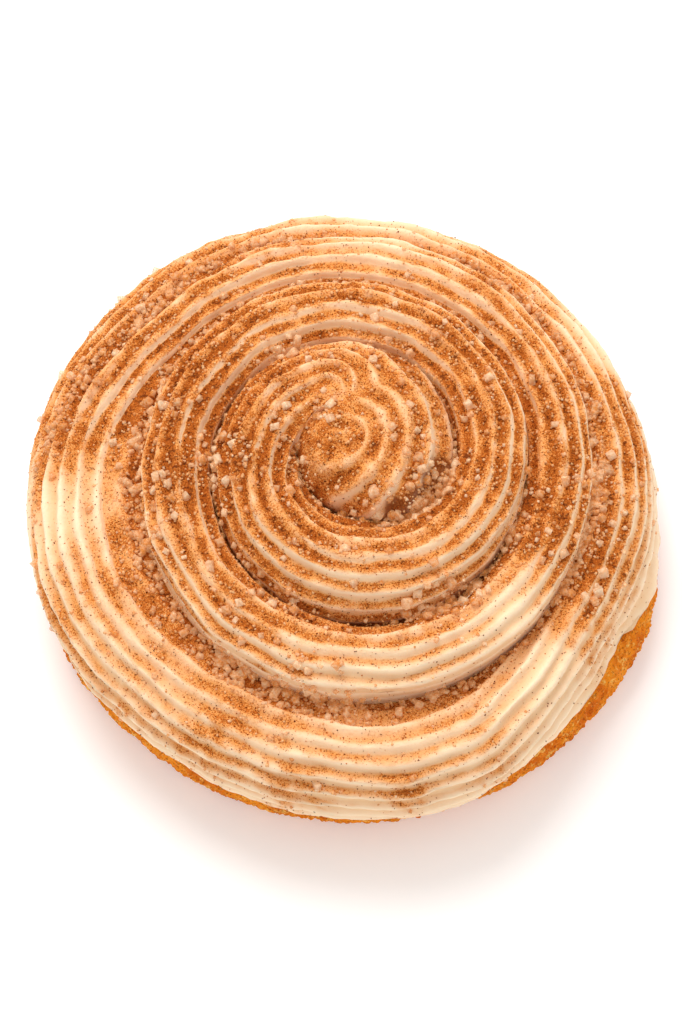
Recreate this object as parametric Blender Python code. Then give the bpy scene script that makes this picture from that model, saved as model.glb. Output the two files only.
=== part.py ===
"""A round churro cookie under one piped rope of icing.

The rope is ridged by a star-shaped nozzle. It starts in the middle of the cookie, winds outward
counter-clockwise, seen from above, for more than three turns, and its last turn sinks into the
icing's lower edge. Coarse sugar crystals are sunk into the icing. Metres, +Z up, the cookie's
underside at Z = 0.
"""

import bmesh
import bpy
import numpy as np
from mathutils import Matrix, Vector

# the whole
icingHeight = 0.0378          # top of the middle, over the table
crestFall = 0.0108            # how far the coils' crests fall towards the rim
crestFallRadius = 0.045
icingRadius = 0.0516          # widest radius of the icing
stepsPerTurn = 60

# the rope and its spiral; turns are counted from +X, counter-clockwise
axisPoint = np.array([0.0017, 0.0030])     # the spiral's axis
poleOffset = np.array([-0.0024, 0.0078])   # from the axis to the point where the groove begins
ropeRadius = 0.0082
ridgesAcross = 8
ridgeHeight = 0.0009
grooveSlit = 0.00018          # half the slit between two coils that press on each other
poleTurn = 0.30               # the groove begins here, as a shallow valley
startTurn = 0.5               # here it has its full depth
sinkTurn = 3.36               # here the last groove starts down the outer wall
endTurn = 3.7                 # here it meets the lower edge
pitch = 0.0168                # the first turn's step outward
pitchLoss = 0.0012            # how much each turn's step shrinks
innerRadius = 0.0090          # the groove round the middle
grooveDeep = 0.0085           # groove depth round the middle
grooveShallow = 0.0042        # groove depth at the rim
lastCoilHeight = 0.0183       # the outer coil's centre line over the table

# the cookie and the gap that the icing keeps to it
cookieCentre = np.array([0.0018, 0.0006])
cookieRadius = 0.0515
cookieTop = 0.0148
sideHeight = 0.0100           # where the cookie's side turns into its shoulder
shoulderHeight = 0.0126
cookieCrag = 0.0007           # depth of the broken edge
gap = 0.00035
lip = 0.0006                  # thickness of the icing's lower edge
hemHeight = 0.0072            # the icing's lower edge over the table
hemRise = 0.0057              # how much higher it stops at the right of the front
hemRiseLeft = 0.0034          # at the left of the front
hemRiseRight = 0.0026         # and at the right

# the sugar
crystalCount = 52
crystalRadius = (0.00060, 0.00095)
crystalSpacing = 0.0035
crystalTurns = (1.3, 3.1)     # the stretch of the rope that carries them, counted from its start
grooveShare = 0.6             # how many of them lie along the grooves


def smooth(low, high, x):
    t = np.clip((x - low) / (high - low), 0, 1)
    return t * t * (3 - 2 * t)


def mix(a, b, t):
    return a + (b - a) * t


def bump(x, centre, width):
    return np.exp(-((x - centre) / width) ** 2)


def lobe(angle, degrees, width):
    """A bump of height 1 on a circle, at a direction and of a width in degrees."""
    return np.exp(2 * (np.cos(angle - np.radians(degrees)) - 1) / np.radians(width) ** 2)


def icingReach(angle):
    """Widest radius of the icing in each direction: round, with hand-piped bulges and dips."""
    bulges = 0.0016 * lobe(angle, -70, 20) - 0.0006 * lobe(angle, 0, 30)
    bulges = bulges + 0.0004 * lobe(angle, 180, 40) + 0.0005 * lobe(angle, 100, 60)
    dips = 0.0030 * lobe(angle, -32, 22) + 0.0019 * lobe(angle, -124, 28)
    return icingRadius + bulges - dips


def reachFromAxis(angle):
    """The icing's widest radius measured from the spiral's axis instead of from the middle."""
    ux = np.cos(angle)
    uy = np.sin(angle)
    radius = icingReach(angle)
    for _ in range(4):
        along = axisPoint[0] * ux + axisPoint[1] * uy
        reach = np.sqrt(along ** 2 - axisPoint @ axisPoint + radius ** 2) - along
        radius = icingReach(np.arctan2(axisPoint[1] + reach * uy, axisPoint[0] + reach * ux))
    return reach


def crestHeight(plan):
    """Height of the coils' crests: highest in the middle, falling towards the rim."""
    return icingHeight - crestFall * (plan ** 2).sum(-1) / crestFallRadius ** 2


def grooveRadius(turn):
    """Distance of the spiral groove from the axis."""
    along = np.sin(2 * np.pi * turn)
    radius = -0.0003 + pitch * turn - pitchLoss * turn ** 2
    radius = radius + 0.0012 * along ** 2 + 0.0012 * np.clip(-along, 0, 1) ** 2
    radius = radius + 0.0010 * bump(turn, 1.05, 0.35)
    radius = mix(innerRadius, radius, smooth(0.65, 1.0, turn))
    opening = (turn - poleTurn) / (startTurn - poleTurn)
    inner = mix(np.hypot(*poleOffset), innerRadius, np.clip(opening, 0, 1))
    return np.where(turn < startTurn, inner, radius)


def grooveDepth(turn):
    """Depth of the groove under the crests: deepest round the middle and at the front."""
    depth = mix(grooveDeep, grooveShallow, smooth(startTurn, 3.4, turn))
    depth = depth + 0.0019 * np.cos(2 * np.pi * (turn - 0.8))
    depth = depth - 0.0035 * bump(turn, 0.90, 0.13) - 0.0020 * bump(turn, 1.84, 0.10)
    return depth - 0.0025 * bump(turn, 3.02, 0.10) - 0.0015 * bump(turn, 3.4, 0.12)


def cookieProfile():
    """Rings of the cookie's side and top: share of the radius, distance inside it, height."""
    side = [(1, 0.0030, 0.0), (1, 0.0011, 0.0009), (1, 0.0001, 0.0030), (1, 0.0, 0.0065)]
    top = [(1, 0.0006, sideHeight), (1, 0.0026, shoulderHeight), (1, 0.0065, 0.0140), (0.55, 0.0, 0.0146)]
    return side + top


def cookieInset(height):
    """How far the cookie's side lies inside its widest radius at a height."""
    rings = cookieProfile()[1:7]
    return np.interp(height, [ring[2] for ring in rings], [ring[1] for ring in rings])


def cookieReach(angle):
    """The cookie's widest radius in each direction: round, with a flat front and two low bulges."""
    bulges = 0.0012 * lobe(angle, -20, 12) + 0.0012 * lobe(angle, -156, 14)
    return cookieRadius + bulges - 0.0010 * lobe(angle, -100, 40)


def hemPoint(angle):
    """The icing's lower edge, in plan and in height: it hangs over the cookie's side, and at the
    right of the front it stops higher, on the cookie's shoulder."""
    height = hemHeight + hemRise * lobe(angle, -33, 26) + hemRiseRight * lobe(angle, 8, 24)
    height = height + hemRiseLeft * lobe(angle, -118, 52)
    height = height + 0.0004 * np.sin(5 * angle + 1) + 0.0003 * np.sin(11 * angle)
    radius = cookieReach(angle) - cookieInset(height) + gap + lip
    direction = np.stack([np.cos(angle), np.sin(angle)], -1)
    return cookieCentre + direction * radius[:, None], height


def edgePoint(turn):
    """Plan point and height of the groove at each turn. Before poleTurn it is the pole, and past
    sinkTurn it slides down the outer wall until it becomes the lower edge."""
    angle = 2 * np.pi * turn
    direction = np.stack([np.cos(angle), np.sin(angle)], -1)
    radius = grooveRadius(turn)
    plan = axisPoint + direction * radius[:, None]
    height = crestHeight(plan) - grooveDepth(turn)
    atPole = (turn < poleTurn)[:, None]
    plan = np.where(atPole, axisPoint + poleOffset, plan)
    opening = smooth(poleTurn, startTurn, turn) ** 1.5
    height = np.where(turn < startTurn, mix(icingHeight - 0.0006, height, opening), height)

    centre = reachFromAxis(angle) - ropeRadius
    hemPlan, hemTop = hemPoint(angle)
    hemRadius = ((hemPlan - axisPoint) * direction).sum(-1)
    sink = smooth(sinkTurn, endTurn, turn)
    fromAngle = np.arctan2(height - lastCoilHeight, radius - centre)
    toAngle = np.arctan2(hemTop - lastCoilHeight, hemRadius - centre)
    fromRadius = np.hypot(height - lastCoilHeight, radius - centre)
    toRadius = np.hypot(hemTop - lastCoilHeight, hemRadius - centre)
    bend = mix(fromAngle, toAngle, sink)
    reach = mix(fromRadius, toRadius, sink)
    reach = mix(reach, ropeRadius - 0.0006, np.sin(np.pi * sink))
    wallPlan = axisPoint + direction * (centre + reach * np.cos(bend))[:, None]
    wallHeight = lastCoilHeight + reach * np.sin(bend)
    sinking = turn > sinkTurn
    plan = np.where(sinking[:, None], wallPlan, plan)
    height = np.where(sinking, wallHeight, height)
    hemmed = turn > endTurn - 1e-6
    plan = np.where(hemmed[:, None], axisPoint + direction * hemRadius[:, None], plan)
    return plan, np.where(hemmed, hemTop, height)


def ropeRows(turn, columns):
    """The rope's visible skin: one row of points for each turn value, from the groove on its inner
    side, over its crest, to the groove on its outer side. Each row is a slice of the round rope,
    drawn by the angle about its centre, and its ends bend to meet the two grooves."""
    angle = 2 * np.pi * turn
    radial = np.stack([np.cos(angle), np.sin(angle)], -1)
    inner, innerHeight = edgePoint(turn)
    outer, outerHeight = edgePoint(turn + 1)
    across = outer - inner
    length = np.linalg.norm(across, axis=-1)
    hasLength = length > 1e-6
    across = np.where(hasLength[:, None], across / np.maximum(length, 1e-6)[:, None], radial)
    across = mix(across, radial, smooth(2.9, 3.2, turn)[:, None])
    across = across / np.linalg.norm(across, axis=-1)[:, None]
    length = ((outer - inner) * across).sum(-1)

    toOuterCoil = smooth(2.3, 2.66, turn)
    halfWidth = mix(ropeRadius, length / 2, smooth(poleTurn, 0.75, turn))
    outerCentre = reachFromAxis(angle) - ropeRadius - ((inner - axisPoint) * radial).sum(-1)
    centre = mix(length - halfWidth, outerCentre, toOuterCoil)
    centreHeight = crestHeight(inner + across * centre[:, None]) - ropeRadius
    centreHeight = mix(centreHeight, lastCoilHeight, toOuterCoil)

    fromAngle = np.arctan2(innerHeight - centreHeight, -centre)
    fromAngle = np.where(fromAngle < -np.pi / 2, fromAngle + 2 * np.pi, fromAngle)
    toAngle = np.arctan2(outerHeight - centreHeight, length - centre)
    fromRadius = np.hypot(innerHeight - centreHeight, centre)[:, None]
    toRadius = np.hypot(outerHeight - centreHeight, length - centre)[:, None]

    t = np.linspace(0, 1, columns + 1)[None, :]
    bend = mix(fromAngle[:, None], toAngle[:, None], t)
    span = (fromAngle - toAngle)[:, None]
    late = mix(4, 8, toOuterCoil)[:, None]
    radius = ropeRadius + (fromRadius - ropeRadius) * (1 - t) ** 7 + (toRadius - ropeRadius) * t ** late
    straight = mix(fromRadius, toRadius, t)
    thin = straight + smooth(0, 1, span) * (ropeRadius - straight) * np.sqrt(np.abs(np.sin(np.pi * t)))
    sink = smooth(sinkTurn, endTurn, turn)[:, None]
    wide = smooth(0.002, 0.007, length) + smooth(0.5, 0.6, turn)
    radius = mix(straight, radius, np.minimum(wide, 1)[:, None])
    radius = mix(radius, thin, sink)
    ridge = -0.5 * np.cos(np.pi * np.arange(columns + 1))[None, :]
    fade = smooth(0, 0.06, t) * smooth(0, 0.06, 1 - t) * smooth(0, 1.2, span)
    fade = fade * smooth(0, 0.008, length)[:, None]
    radius = radius + ridgeHeight * ridge * fade

    reach = centre[:, None] + radius * np.cos(bend)
    height = centreHeight[:, None] + radius * np.sin(bend)
    free = smooth(2.36, 2.42, turn)[:, None]
    outerSlit = grooveSlit * smooth(poleTurn, startTurn, turn + 1)[:, None]
    innerSlit = grooveSlit * smooth(poleTurn, startTurn, turn)[:, None]
    outerLimit = length[:, None] - outerSlit * smooth(0, 0.05, 1 - t) + 0.02 * free
    freeInside = smooth(3.30, 3.40, turn)[:, None] + (turn < poleTurn)[:, None]
    innerLimit = innerSlit * smooth(0, 0.05, t) - 0.02 * freeInside
    reach = np.clip(reach, innerLimit, np.maximum(outerLimit, innerLimit))
    plan = inner[:, None, :] + across[:, None, :] * reach[..., None]
    return np.concatenate([plan, height[..., None]], -1)


def ropeSkin(columns):
    """Points and faces of the rope's skin. The outer side of each turn and the inner side of the
    next share their points, so the skin is one sheet that ends at the icing's lower edge."""
    firstTurn = int(np.ceil((poleTurn - 1) * stepsPerTurn))
    turn = np.arange(firstTurn, round(endTurn * stepsPerTurn) + 1) / stepsPerTurn
    rows = ropeRows(turn, columns)
    points = [rows[0, 0]]
    index = np.zeros((len(turn), columns + 1), int)
    for i in range(1, len(turn)):
        if turn[i] >= poleTurn:
            index[i, 0] = index[i - stepsPerTurn, columns]
        for j in range(1, columns + 1):
            if i == len(turn) - 1:
                index[i, j] = index[i, 0]
            else:
                index[i, j] = len(points)
                points.append(rows[i, j])
    faces = []
    for i in range(len(turn) - 1):
        for j in range(columns):
            corners = [index[i, j], index[i, j + 1], index[i + 1, j + 1], index[i + 1, j]]
            face = list(dict.fromkeys(corners))
            if len(face) > 2:
                faces.append(face)
    hem = [index[len(turn) - 1 - stepsPerTurn + k, columns] for k in range(stepsPerTurn)]
    hemTurn = turn[len(turn) - 1 - stepsPerTurn:len(turn) - 1]
    return points, faces, hem, hemTurn, rows


def meshObject(name, points, faces):
    mesh = bpy.data.meshes.new(name)
    mesh.from_pydata([tuple(point) for point in points], [], faces)
    model = bpy.data.objects.new(name, mesh)
    bpy.context.collection.objects.link(model)
    work = bmesh.new()
    work.from_mesh(mesh)
    bmesh.ops.triangulate(work, faces=work.faces)
    bmesh.ops.recalc_face_normals(work, faces=work.faces)
    work.to_mesh(mesh)
    work.free()
    return model


def material(name, colour, roughness):
    finish = bpy.data.materials.new(name)
    finish.use_nodes = True
    shader = finish.node_tree.nodes["Principled BSDF"]
    shader.inputs["Base Color"].default_value = (*colour, 1)
    shader.inputs["Roughness"].default_value = roughness
    shader.inputs["Metallic"].default_value = 0
    return finish


def cookieRing(angle, share, inset, height, clearance):
    """A ring round the cookie, or round the space that the icing leaves for it."""
    radius = share * cookieReach(angle) - inset + clearance
    direction = np.stack([np.cos(angle), np.sin(angle)], -1)
    plan = cookieCentre + direction * radius[:, None]
    return [(x, y, z) for (x, y), z in zip(plan, height * np.ones_like(angle))]


def bands(loops):
    """Faces between each loop of points and the next."""
    faces = []
    for one, other in zip(loops, loops[1:]):
        for k in range(stepsPerTurn):
            nextK = (k + 1) % stepsPerTurn
            faces.append([one[k], one[nextK], other[nextK], other[k]])
    return faces


def fan(loop, middle):
    return [[loop[k], loop[(k + 1) % stepsPerTurn], middle] for k in range(stepsPerTurn)]


def makeIcing():
    points, faces, hem, hemTurn, rows = ropeSkin(2 * ridgesAcross)
    angle = 2 * np.pi * hemTurn
    level = np.array([points[k][2] for k in hem])
    # the inside of the lower edge, level with it, then over the cookie's shoulder to its top
    rings = [cookieRing(angle, 1, cookieInset(level), level, gap)]
    for height in (sideHeight, shoulderHeight):
        level = np.maximum(level + gap, height + gap)
        rings.append(cookieRing(angle, 1, cookieInset(level - gap), level, gap))
    for share, inset, height in cookieProfile()[6:]:
        rings.append(cookieRing(angle, share, inset, height + gap, gap))
    loops = [hem]
    for ring in rings:
        first = len(points)
        points.extend(ring)
        loops.append([first + k for k in range(stepsPerTurn)])
    faces.extend(bands(loops))
    faces.extend(fan(loops[-1], len(points)))
    points.append((*cookieCentre, cookieTop + gap))
    icing = meshObject("icing", points, faces)
    icing.data.materials.append(material("icing", (0.86, 0.58, 0.33), 0.55))
    addCrystals(icing, rows)
    return icing


def addCrystals(icing, rows):
    """Coarse sugar, fused on: most of it lies along the grooves, the rest on the crests."""
    draw = np.random.default_rng(7)
    crystals = bpy.data.collections.new("crystals")
    bpy.context.scene.collection.children.link(crystals)
    columns = rows.shape[1] - 1
    taken = []
    while len(taken) < crystalCount:
        i = draw.integers(*(int(turn * stepsPerTurn) for turn in crystalTurns))
        inGroove = draw.random() < grooveShare
        share = draw.uniform(0.08, 0.2) if inGroove else draw.uniform(0.2, 0.75)
        j = int(round(share * columns))
        place = rows[i, j]
        if any(np.linalg.norm(place - other) < crystalSpacing for other in taken):
            continue
        taken.append(place)
        alongRope = rows[i + 1, j] - rows[i - 1, j]
        acrossRope = rows[i, j + 1] - rows[i, j - 1]
        outward = Vector(np.cross(acrossRope, alongRope)).normalized()
        size = draw.uniform(*crystalRadius)
        work = bmesh.new()
        bmesh.ops.create_icosphere(work, subdivisions=1, radius=size)
        squash = Matrix.Diagonal((*draw.uniform(0.75, 1.15, 3), 1))
        turnRound = Matrix.Rotation(draw.uniform(0, 3), 4, Vector(draw.normal(size=3)))
        move = Matrix.Translation(Vector(place) + outward * size * 0.35)
        bmesh.ops.transform(work, matrix=move @ turnRound @ squash, verts=work.verts)
        mesh = bpy.data.meshes.new("crystal")
        work.to_mesh(mesh)
        work.free()
        crystals.objects.link(bpy.data.objects.new("crystal", mesh))
    union = icing.modifiers.new("sugar", 'BOOLEAN')
    union.operation = 'UNION'
    union.solver = 'EXACT'
    union.operand_type = 'COLLECTION'
    union.collection = crystals
    evaluated = icing.evaluated_get(bpy.context.evaluated_depsgraph_get())
    joined = bpy.data.meshes.new_from_object(evaluated)
    icing.modifiers.clear()
    icing.data = joined
    work = bmesh.new()
    work.from_mesh(joined)
    bmesh.ops.remove_doubles(work, verts=work.verts, dist=0.000004)
    bmesh.ops.dissolve_degenerate(work, edges=work.edges, dist=0.000002)
    bmesh.ops.triangulate(work, faces=work.faces)
    work.to_mesh(joined)
    work.free()
    for crystal in list(crystals.objects):
        bpy.data.objects.remove(crystal)
    bpy.data.collections.remove(crystals)


def cragDepth(angle, height):
    """Depth of the cookie's broken edge, from 0 to 1, none above the shoulder or on the base."""
    waves = np.sin(9 * angle + 1.3) * np.sin(16 * angle + 700 * height)
    waves = waves + 0.8 * np.sin(23 * angle - 900 * height + 0.5)
    onSide = smooth(0.0, 0.002, height) * smooth(0.0120, 0.0080, height)
    return (0.5 + 0.27 * waves) * onSide


def makeCookie():
    angle = 2 * np.pi * np.arange(stepsPerTurn) / stepsPerTurn
    points = []
    loops = []
    for share, inset, height in cookieProfile():
        broken = cookieCrag * cragDepth(angle, height)
        first = len(points)
        for k, (x, y, z) in enumerate(cookieRing(angle, share, inset, height, 0)):
            inward = broken[k] * np.array([np.cos(angle[k]), np.sin(angle[k])])
            points.append((x - inward[0], y - inward[1], z))
        loops.append([first + k for k in range(stepsPerTurn)])
    faces = bands(loops)
    for loop, height in ((loops[0], 0.0), (loops[-1], cookieTop)):
        faces.extend(fan(loop, len(points)))
        points.append((*cookieCentre, height))
    cookie = meshObject("cookie", points, faces)
    cookie.data.materials.append(material("cookie", (0.62, 0.25, 0.07), 0.85))
    return cookie


def main():
    for leftover in list(bpy.data.objects):
        bpy.data.objects.remove(leftover)
    makeCookie()
    makeIcing()


main()
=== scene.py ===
import math

import bmesh
import bpy
import numpy as np
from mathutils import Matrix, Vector


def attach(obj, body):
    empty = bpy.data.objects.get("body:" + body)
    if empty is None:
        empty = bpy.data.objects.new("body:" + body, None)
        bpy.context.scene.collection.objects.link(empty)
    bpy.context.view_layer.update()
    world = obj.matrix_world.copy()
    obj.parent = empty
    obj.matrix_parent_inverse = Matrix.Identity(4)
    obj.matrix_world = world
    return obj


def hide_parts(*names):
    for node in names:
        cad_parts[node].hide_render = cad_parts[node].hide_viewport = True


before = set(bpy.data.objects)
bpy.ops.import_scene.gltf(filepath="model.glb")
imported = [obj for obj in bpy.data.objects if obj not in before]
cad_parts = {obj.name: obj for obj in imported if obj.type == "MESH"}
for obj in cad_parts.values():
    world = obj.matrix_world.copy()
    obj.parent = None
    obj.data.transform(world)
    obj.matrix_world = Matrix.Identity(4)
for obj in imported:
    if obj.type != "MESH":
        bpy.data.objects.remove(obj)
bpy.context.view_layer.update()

print("frame loaded")

mm = 0.001


def smooth(low, high, x):
    t = np.clip((x - low) / (high - low), 0, 1)
    return t * t * (3 - 2 * t)


def mix(a, b, t):
    return a + (b - a) * t


def bump(x, centre, width):
    return np.exp(-((x - centre) / width) ** 2)


# a bump of height 1 on a circle, at a direction and of a width in degrees
def lobe(angle, degrees, width):
    return np.exp(2 * (np.cos(angle - np.radians(degrees)) - 1) / np.radians(width) ** 2)


# several of them added up: height in mm, direction and width in degrees
def lobes(angle, places):
    return sum(height * lobe(angle, degrees, width) for height, degrees, width in places) * mm


# bumps along the spiral added up: height in mm, turn, width in turns
def swells(turn, places):
    return sum(height * bump(turn, at, width) for height, at, width in places) * mm


def heading(angle):
    return np.stack([np.cos(angle), np.sin(angle)], -1)


# 1 at a place on the plan, in mm, and less away from it by a width
def spot(points, x, y, width):
    away = np.hypot(points[:, 0] - x * mm, points[:, 1] - y * mm)
    return np.exp(-(away / (width * mm)) ** 2)


# smooth noise, the mean of sine waves in random directions: about -1 to 1; size is a bump's length
def wavy(points, size, seed, waves=14):
    draw = np.random.default_rng(seed)
    way = draw.normal(size=(waves, points.shape[-1]))
    way = way / np.linalg.norm(way, axis=-1, keepdims=True)
    way = way * (2 * np.pi / size) * draw.uniform(0.6, 1.5, (waves, 1))
    total = 0
    for k in range(waves):
        total = total + np.sin(points @ way[k] + draw.uniform(0, 2 * np.pi))
    return total * np.sqrt(2 / waves) / 1.6


# several sizes of it added up: how much, a bump's length in mm, seed
def uneven(points, layers):
    return sum(much * wavy(points, size * mm, seed) for much, size, seed in layers)


# ---- meshes from arrays

def meshFrom(name, points, faces):
    mesh = bpy.data.meshes.new(name)
    mesh.vertices.add(len(points))
    mesh.vertices.foreach_set("co", np.ascontiguousarray(points, np.float32).ravel())
    mesh.loops.add(faces.size)
    mesh.loops.foreach_set("vertex_index", np.ascontiguousarray(faces, np.int32).ravel())
    mesh.polygons.add(len(faces))
    mesh.polygons.foreach_set("loop_start", np.arange(0, faces.size, faces.shape[1], dtype=np.int32))
    mesh.update(calc_edges=True)
    mesh.validate()
    piece = bpy.data.objects.new(name, mesh)
    bpy.context.scene.collection.objects.link(piece)
    return piece


def addValues(piece, name, values):
    layer = piece.data.attributes.new(name, 'FLOAT', 'POINT')
    layer.data.foreach_set("value", np.ascontiguousarray(values, np.float32))


# each quad of a grid of point numbers as two triangles, without those that have shrunk to a line
def gridFaces(index):
    a = index[:-1, :-1].ravel()
    b = index[:-1, 1:].ravel()
    c = index[1:, 1:].ravel()
    d = index[1:, :-1].ravel()
    faces = np.concatenate([np.stack([a, b, c], -1), np.stack([a, c, d], -1)])
    whole = (faces[:, 0] != faces[:, 1]) & (faces[:, 1] != faces[:, 2]) & (faces[:, 0] != faces[:, 2])
    return faces[whole]


def faceNormals(points, faces):
    a, b, c = points[faces[:, 0]], points[faces[:, 1]], points[faces[:, 2]]
    return np.cross(b - a, c - a)


# the mean of the faces' normals round each point, weighted by area
def pointNormals(points, faces):
    flat = faceNormals(points, faces)
    normals = np.zeros_like(points)
    for corner in range(3):
        np.add.at(normals, faces[:, corner], flat)
    return normals / np.maximum(np.linalg.norm(normals, axis=-1, keepdims=True), 1e-12)


# ---- the cookie's shape, which the icing's lower edge follows

cookie = {
    "centre": np.array([1.8, 0.6]) * mm,
    "radius": 51.5 * mm,
    "top": 14.8 * mm,
    "crown": 14.6 * mm,          # height halfway to the middle
    "bulges": [(1.2, -20, 12), (1.2, -156, 14), (-1.0, -100, 40)],  # mm, direction and width in degrees
    # distance inside the widest radius, and height
    "profile": np.array([
        [3.0, 0.0], [1.1, 0.9], [0.1, 3.0], [0.0, 6.5], [0.6, 10.0], [2.6, 12.6], [6.5, 14.0],
    ]) * mm,
    "rounding": [-1.2, -0.6, 0, 0.6, 1.2],   # mm along the profile, averaged
    "steps": 1200,
    "rows": 60,
    "crag": 0.55 * mm,           # depth of the broken edge
    "cragWaves": [(0.7, 5, 31), (0.5, 2.2, 32)],
    "crumb": 0.30 * mm,          # height of the crumb's grain
    "crumbSize": 1.1 * mm,
    "proud": 0.22 * mm,          # the furthest that a crumb stands out
    "sideFoot": 1.2 * mm,        # the broken edge is at its full depth from here up
    "sideTop": (14.4 * mm, 12.0 * mm),
}


def cookieInset(height):
    return np.interp(height, cookie["profile"][1:, 1], cookie["profile"][1:, 0])


# widest radius of the cookie in each direction: round, with a flat front and two low bulges
def cookieReach(angle):
    return cookie["radius"] + lobes(angle, cookie["bulges"])


# ---- the rope's spiral. Turns are counted from +X, counter-clockwise seen from above

rope = {
    "height": 37.8 * mm,         # top of the middle over the table
    "crestFall": 10.8 * mm,      # the crests fall by this at crestFallRadius
    "crestFallRadius": 45 * mm,
    "reach": 51.6 * mm,          # widest radius of the icing
    # hand-piped bulges and dips of that radius: mm, direction and width in degrees
    "bulges": [
        (1.6, -70, 20), (-0.6, 0, 30), (0.4, 180, 40), (0.5, 100, 60), (-3.0, -32, 22), (-1.9, -124, 28),
    ],
    "axis": np.array([1.7, 3.0]) * mm,
    "pole": np.array([-0.7, 10.8]) * mm,  # where the first groove begins, as a shallow valley
    "poleDepth": 0.9 * mm,
    "radius": 8.2 * mm,
    "slit": 0.18 * mm,           # half the slit between two coils that press on each other
    "gapes": [(1.5, 0.90, 0.11), (1.0, 1.84, 0.08)],  # wider slits: mm, turn, width in turns
    "poleTurn": 0.30,
    "startTurn": 0.5,
    "openTurn": 0.56,            # here the groove has its full depth
    "sinkTurn": 3.36,
    "endTurn": 3.7,
    "sinkDip": 0.6 * mm,         # the sinking groove lies this far inside the rope's skin
    "pitchStart": -0.3 * mm,
    "pitch": 16.8 * mm,
    "pitchLoss": 1.2 * mm,
    "oval": 1.2 * mm,            # grooves stand further out at front and rear, twice as far at front
    "grooveSwells": [(1.0, 1.05, 0.35)],
    "innerRadius": 9.0 * mm,
    "grooveDeep": 8.5 * mm,
    "grooveShallow": 4.2 * mm,
    "grooveTilt": 1.9 * mm,      # grooves are deeper by this at one side and shallower at the other
    "deepSide": 0.8,             # direction of the deep side, in turns
    "grooveFills": [(2.5, 3.02, 0.10), (1.5, 3.4, 0.12), (3.5, 0.90, 0.13), (2.0, 1.84, 0.10)],
    "lastCoilHeight": 18.3 * mm,
    "gap": 0.35 * mm,
    "lip": 0.6 * mm,
    "hemHeight": 7.2 * mm,
    "hemRises": [(5.7, -33, 26), (3.4, -118, 52), (2.6, 8, 24)],  # mm, direction and width in degrees
    "hemTears": [(0.22, 9, 61), (0.12, 4, 62)],
    "hemRagged": [(0.3, 6, 63)],
    "lumps": [(0.22, 15, 11), (0.08, 6, 12), (0.05, 2.2, 13)],    # hand-made unevenness of the skin
    "stepsPerTurn": 380,
    "columns": 58,
    "crestAtPole": 0.6,
}

# turns between which the rope's slice changes over: the change is none at the first of each pair and
# whole at the second
changes = {
    "spiral": (0.65, 1.0),       # the groove leaves its innermost circle
    "shallow": (0.5, 3.4),       # the groove gets shallower
    "halfWidth": (0.30, 0.75),   # the coil gets its centre halfway between its grooves
    "full": (0.5, 0.6),          # a narrow strip is no longer flat
    "radial": (2.9, 3.2),        # rows point straight out from the axis
    "outer": (2.3, 2.66),        # the coil follows the outline
    "ridgesSink": (2.95, 3.3),   # ridges run along the sinking groove
    "ridgesEarly": (1.0, 0.45),  # ridges run along the groove on the outer side
    "middleRidges": (0.32, 0.12),  # ridges follow the middle's own rule
    "rear": (0.6, 1.2),          # ridges fade sooner at the rear
    "hem": (2.66, 2.75),         # ridges don't fade at the hem
    "freeOutside": (2.36, 2.42),   # no coil lies further out
    "freeInside": (3.30, 3.40),  # no coil lies further in
}

ridges = {
    "round": 18,                 # ridges round the whole rope
    "height": 1.0 * mm,
    "wobble": 0.09,              # how far a ridge strays, in ridges
    "wobbleSize": 14 * mm,
    "narrow": 1.5,               # above 1: narrow crests over wide valleys
    "level": 0.45,               # the part of a crest's height that lies at the skin
    "strength": [(0.28, 11, 4), (0.12, 4, 5)],
    "weakest": 0.35,
    "strongest": 1.5,
    "soft": np.array([35.0, -12.0]) * mm,  # round this point the ridges are pressed flatter
    "softReach": 16 * mm,
    "softening": 0.45,
    "middle": np.array([0.9, 3.9]) * mm,  # the ridges of the first coil hook round this point
    "middleSpacing": 3.1 * mm,
    "middleCount": 5.2,          # ridges from there to the first groove
    "runOff": 3.9,               # how many of them run off the first coil's lower edge
    "hook": 0.25,                # how much a ring round the middle is drawn open into a hook
    "hookReach": (6 * mm, 1 * mm),
    "cutSide": 150,              # directions in degrees: here the count starts anew
    "runOffSides": (0, -150),
    "stretchSides": (108, 92),
    "dyingSide": 165,            # the ridges fade out here
    "dyingWidth": (15, 50),
    "middleFade": (0.2 * mm, 1.2 * mm),
    "poleFade": (1 * mm, 5 * mm),
    "narrowFade": 6 * mm,        # ridges fade where a strip is narrower than this
    # widths over which the ridges fade into the grooves, as shares of the strip's width
    "innerFade": 0.07,
    "rearFade": 0.16,            # this much more at the rear
    "outerFade": 0.05,
}


def icingReach(angle):
    return rope["reach"] + lobes(angle, rope["bulges"])


# the icing's widest radius, measured from the spiral's axis instead of from the middle
def reachFromAxis(angle):
    axis = rope["axis"]
    radius = icingReach(angle)
    for _ in range(4):
        along = heading(angle) @ axis
        reach = np.sqrt(along ** 2 - axis @ axis + radius ** 2) - along
        radius = icingReach(np.arctan2(axis[1] + reach * np.sin(angle), axis[0] + reach * np.cos(angle)))
    return reach


def crestHeight(plan):
    return rope["height"] - rope["crestFall"] * (plan ** 2).sum(-1) / rope["crestFallRadius"] ** 2


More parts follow.
